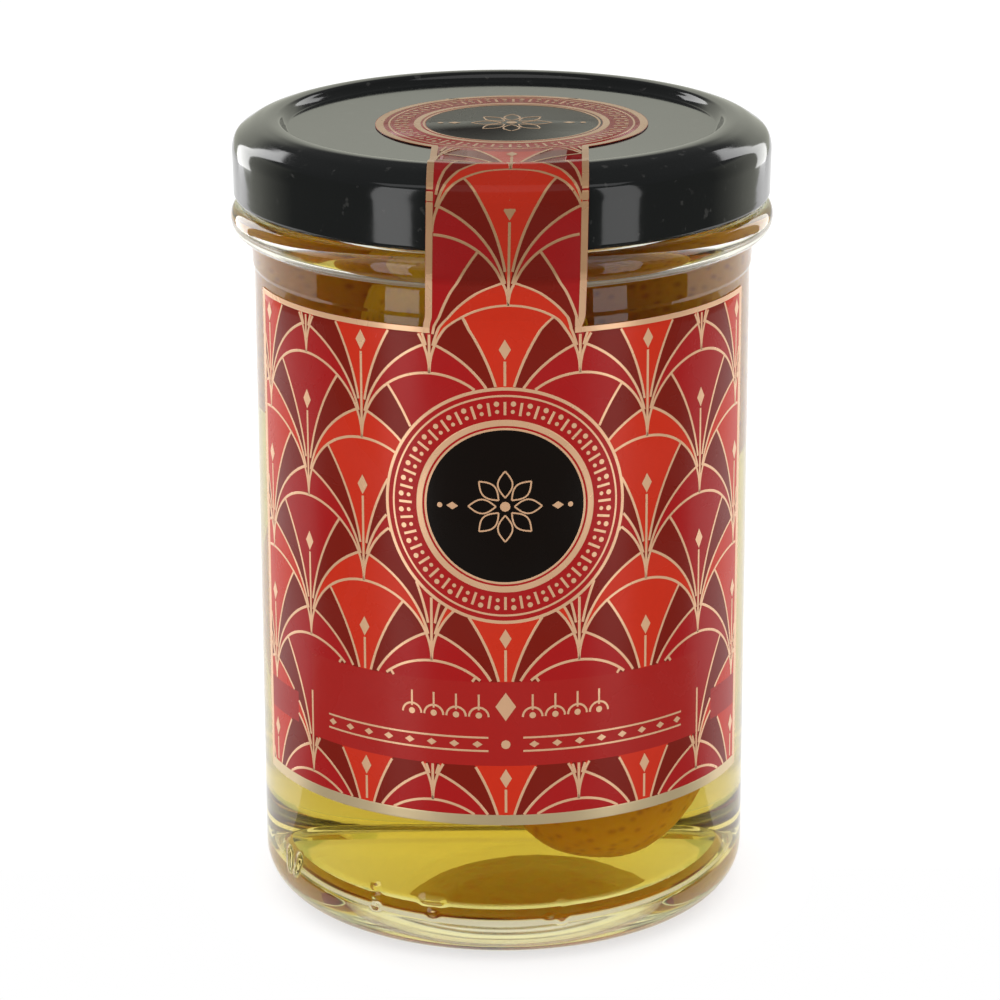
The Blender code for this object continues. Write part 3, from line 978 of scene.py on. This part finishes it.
def rosette(work, s, v, size):
    # a plain eight-petalled ornament
    for i in range(8):
        a = math.radians(45 * i)
        tip = (s + size * math.sin(a), v + size * math.cos(a))
        for bulge in (-1, 1):
            path = []
            for j in range(13):
                t = j / 12
                wide = bulge * 0.2 * size * math.sin(math.pi * t)
                path.append((s + (tip[0] - s) * (0.25 + 0.75 * t) + wide * math.cos(a),
                             v + (tip[1] - v) * (0.25 + 0.75 * t) - wide * math.sin(a)))
            foilBand(work, path, foil["thinWidth"] * 0.8)
    bead(work, s, v, 0.14 * size)


def medallion(work, centre, disc, scale=1.0):
    s, v = centre
    count = 40
    fullRing(work, centre, disc - 0.05, 0.28)
    fullRing(work, centre, disc + 0.75 * scale, 0.8 * scale)

    def spot(reach, angle):
        r = disc + reach * scale
        return s + r * math.sin(angle), v + r * math.cos(angle)

    for i in range(count):
        a = 2 * math.pi * i / count
        foilBand(work, [spot(reach, a) for reach in (1.75, 2.6, 3.45)], 0.34)
        for reach, radius in ((2.2, 0.26), (3.2, 0.34)):
            bead(work, *spot(reach, a + math.pi / count), radius)


def bannerOrnament(work):
    turn = sticker["printTurn"]
    high, low = 16.1, 11.0
    lozenge(work, turn, high, 2.6, 3.8)
    for sign in (-1, 1):
        for i in range(4):
            s = turn + sign * (3.4 + 2.9 * i)
            foilBand(work, curve((s, high - 1.4), 1.25, 0, 180), foil["lineWidth"] * 0.8)
            bead(work, s, high - 1.2, 0.42)
            foilBand(work, [(s, high - 0.5), (s, high + 0.4), (s, high + 1.6)], foil["thinWidth"])
        for v in (low - 0.9, low + 0.9):
            foilBand(work, spaced([(turn + sign * 2.2, v), (turn + sign * 25.0, v)], 0.7), foil["thinWidth"])
        for i in range(8):
            lozenge(work, turn + sign * (3.6 + 2.95 * i), low, 1.3, 0.9)
    bead(work, turn, low, 0.6)


def makeFoil():
    k = sticker
    work = bmesh.new()
    fanLines(work)
    borders(work)
    centre = (k["printTurn"], k["medallionHeight"])
    seal = (0.0, sealCentre)
    fullRing(work, centre, k["medallionRadius"] - 0.1, 0.42)
    fullRing(work, centre, k["medallionRadius"] - 1.0, 0.26)
    medallion(work, centre, k["discRadius"])
    rosette(work, *centre, 4.6)
    fullRing(work, seal, k["sealBand"] - 0.7, 0.26)
    medallion(work, seal, k["sealDisc"], 1.08)
    rosette(work, *seal, 5.2)
    for sign in (-1, 1):
        lozenge(work, centre[0] + sign * 6.6, centre[1], 1.5, 1.0)
        bead(work, centre[0] + sign * 8.2, centre[1], 0.34)
        lozenge(work, sign * 7.4, sealCentre, 1.7, 1.1)
        bead(work, sign * 9.2, sealCentre, 0.38)
    bannerOrnament(work)
    return finishMesh("goldFoil", work, smooth=False)


def makePaleBand():
    # the plain pale band along the wrap's lower edge
    work = bmesh.new()
    wide = sticker["bottomBorder"]
    foilBand(work, spaced([(-wrapHalf, wide / 2), (wrapHalf, wide / 2)], 0.7), wide)
    return finishMesh("paleBand", work, smooth=False)


paperPiece = addPiece("stickerPaper", makePaper(), "sticker", "label")
thicken = paperPiece.modifiers.new("Paper", "SOLIDIFY")
thicken.thickness = sticker["thickness"] * mm
thicken.offset = 1.0
thicken.material_offset = 1
paperPiece.data.materials.append(paperMaterial())
# the bare white side shows through the glass
paperPiece.data.materials.append(
    mottledMaterial("paperBack", 900.0, sticker["back"], sticker["backShade"], 0.7))
foilPiece = addPiece("goldFoil", makeFoil(), "sticker", "label")
foilPiece.data.materials.append(foilMaterial())
bandPiece = addPiece("paleBand", makePaleBand(), "sticker", "label")
bandPiece.data.materials.append(
    mottledMaterial("paleFoil", 200.0, sticker["borderColour"], sticker["borderShade"], 0.35, 0.6))
print("sticker printed")


# Stage, lights and camera
studio = dict(
    floorHalf=0.30, floorFront=0.042, floorBack=2.0, floorColour=(0.45, 0.45, 0.45), floorGlow=0.62,
    surround=(1.0, 1.0, 1.0), surroundStrength=1.0,
    # how bright the room is at so many degrees away from the front, as gloss mirrors it and as glass
    # lets it through
    mirrored=[(0, 0.05), (100, 0.08), (125, 0.6), (150, 0.75), (180, 0.75)], mirroredTop=0.10,
    seenThrough=[(0, 0.8), (60, 0.75), (100, 1.05), (180, 1.1)], throughTop=0.9, tone=(0.985, 1.0, 0.86),
    topFrom=0.3, topTo=0.5, lightBounces=96,
)
# upright light boxes: degrees to the right of the front, distance, width, lower and upper edge in metres,
# brightness
lightBoxes = dict(
    frontLeft=(-46, 0.75, 0.22, -0.25, 0.55, 2.3),
    frontRight=(50, 0.75, 0.22, -0.25, 0.55, 1.7),
    backLeft=(-138, 0.46, 0.14, 0.0, 0.42, 3.6),
    backRight=(140, 0.46, 0.12, 0.0, 0.42, 2.6),
)
overhead = dict(place=(0, -0.3, 0.75), facing=(0, 0.3, -0.65), wide=1.2, tall=0.25, brightness=0.9)
photo = dict(distance=15.2487 * bodyRadius, height=6.417 * bodyRadius, tiltDown=0.30370, roll=-0.0028,
             lens=139.56, sensor=36.0, shiftX=-0.002775)


def makeFloor():
    # in front the floor ends in a half circle, close enough that the glass doesn't mirror it
    half, front, back = studio["floorHalf"], studio["floorFront"], studio["floorBack"]
    outline = arc((0, 0), (front, front), -180, 0, 48) + [(half, 0), (half, back), (-half, back), (-half, 0)]
    mesh = bpy.data.meshes.new("floor")
    mesh.from_pydata([(x, y, 0) for x, y in outline], [], [range(len(outline))])
    floor = bpy.data.objects.new("floor", mesh)
    bpy.context.scene.collection.objects.link(floor)
    material, tree, shader = newMaterial("paleFloor")
    setInputs(tree, shader, {"Base Color": (*studio["floorColour"], 1), "Roughness": 0.8,
                             "Emission Color": (1, 1, 1, 1), "Emission Strength": studio["floorGlow"]})
    mesh.materials.append(material)


def makeSurround():
    # white behind, dimmer at the sides and darkest in front, as gloss and glass see it; plain white
    # for the rest
    k = studio
    world = bpy.data.worlds.new("surround")
    bpy.context.scene.world = world
    world.use_nodes = True
    tree = world.node_tree
    plain = tree.nodes["Background"]
    setInputs(tree, plain, {"Color": (*k["surround"], 1), "Strength": k["surroundStrength"]})
    spot = splitPlace(tree, addNode(tree, "ShaderNodeTexCoord").outputs["Generated"])
    turn = calc(tree, "ARCTAN2", spot["X"], calc(tree, "MULTIPLY", spot["Y"], -1.0))
    away = calc(tree, "DIVIDE", calc(tree, "ABSOLUTE", turn), math.pi)
    path = addNode(tree, "ShaderNodeLightPath")

    def room(levels, top):
        ramp = addNode(tree, "ShaderNodeValToRGB")
        while len(ramp.color_ramp.elements) < len(levels):
            ramp.color_ramp.elements.new(1.0)
        for element, (degrees, level) in zip(ramp.color_ramp.elements, levels):
            element.position = degrees / 180
            element.color = (*(level * t for t in k["tone"]), 1)
        tree.links.new(away, ramp.inputs["Fac"])
        rise = mapRange(tree, spot["Z"], k["topFrom"], k["topTo"], interpolation="SMOOTHSTEP")
        light = addNode(tree, "ShaderNodeBackground")
        tree.links.new(mixColour(tree, rise, ramp.outputs["Color"], (top,) * 3), light.inputs["Color"])
        return light.outputs[0]

    def seenBy(ray, usual, special):
        mix = addNode(tree, "ShaderNodeMixShader")
        for source, socket in zip((path.outputs[ray], usual, special), mix.inputs):
            tree.links.new(source, socket)
        return mix.outputs[0]

    light = seenBy("Is Glossy Ray", plain.outputs[0], room(k["mirrored"], k["mirroredTop"]))
    light = seenBy("Is Transmission Ray", light, room(k["seenThrough"], k["throughTop"]))
    tree.links.new(light, tree.nodes["World Output"].inputs["Surface"])


def addArea(name, place, facing, wide, tall, brightness):
    data = bpy.data.lights.new(name, "AREA")
    data.shape = "RECTANGLE"
    data.size = wide
    data.size_y = tall
    data.energy = brightness * math.pi * wide * tall
    light = bpy.data.objects.new(name, data)
    bpy.context.scene.collection.objects.link(light)
    light.location = place
    light.rotation_euler = Vector(facing).to_track_quat("-Z", "Y").to_euler()
    light.visible_transmission = False      # gloss mirrors the lamps; the glass shows the room behind it


def addLightBox(name, turn, distance, wide, low, high, brightness):
    x, y = math.sin(math.radians(turn)), -math.cos(math.radians(turn))
    addArea(name, (distance * x, distance * y, (low + high) / 2), (-x, -y, 0), wide, high - low, brightness)


def makeCamera():
    data = bpy.data.cameras.new("camera")
    data.lens = photo["lens"]
    data.sensor_width = photo["sensor"]
    data.shift_x = photo["shiftX"]
    data.clip_start = 0.01
    camera = bpy.data.objects.new("camera", data)
    bpy.context.scene.collection.objects.link(camera)
    camera.location = (0, -photo["distance"], photo["height"])
    turn = Matrix.Rotation(math.pi / 2 - photo["tiltDown"], 3, "X") @ Matrix.Rotation(photo["roll"], 3, "Z")
    camera.rotation_euler = turn.to_euler()
    bpy.context.scene.camera = camera


makeFloor()
makeSurround()
for name, values in lightBoxes.items():
    addLightBox(name, *values)
addArea("overhead", **overhead)
makeCamera()
bpy.context.scene.view_settings.view_transform = "Standard"
for kind in ("max_bounces", "transmission_bounces", "glossy_bounces"):
    # light runs a long way round inside the glass
    setattr(bpy.context.scene.cycles, kind, studio["lightBounces"])
print("stage set")
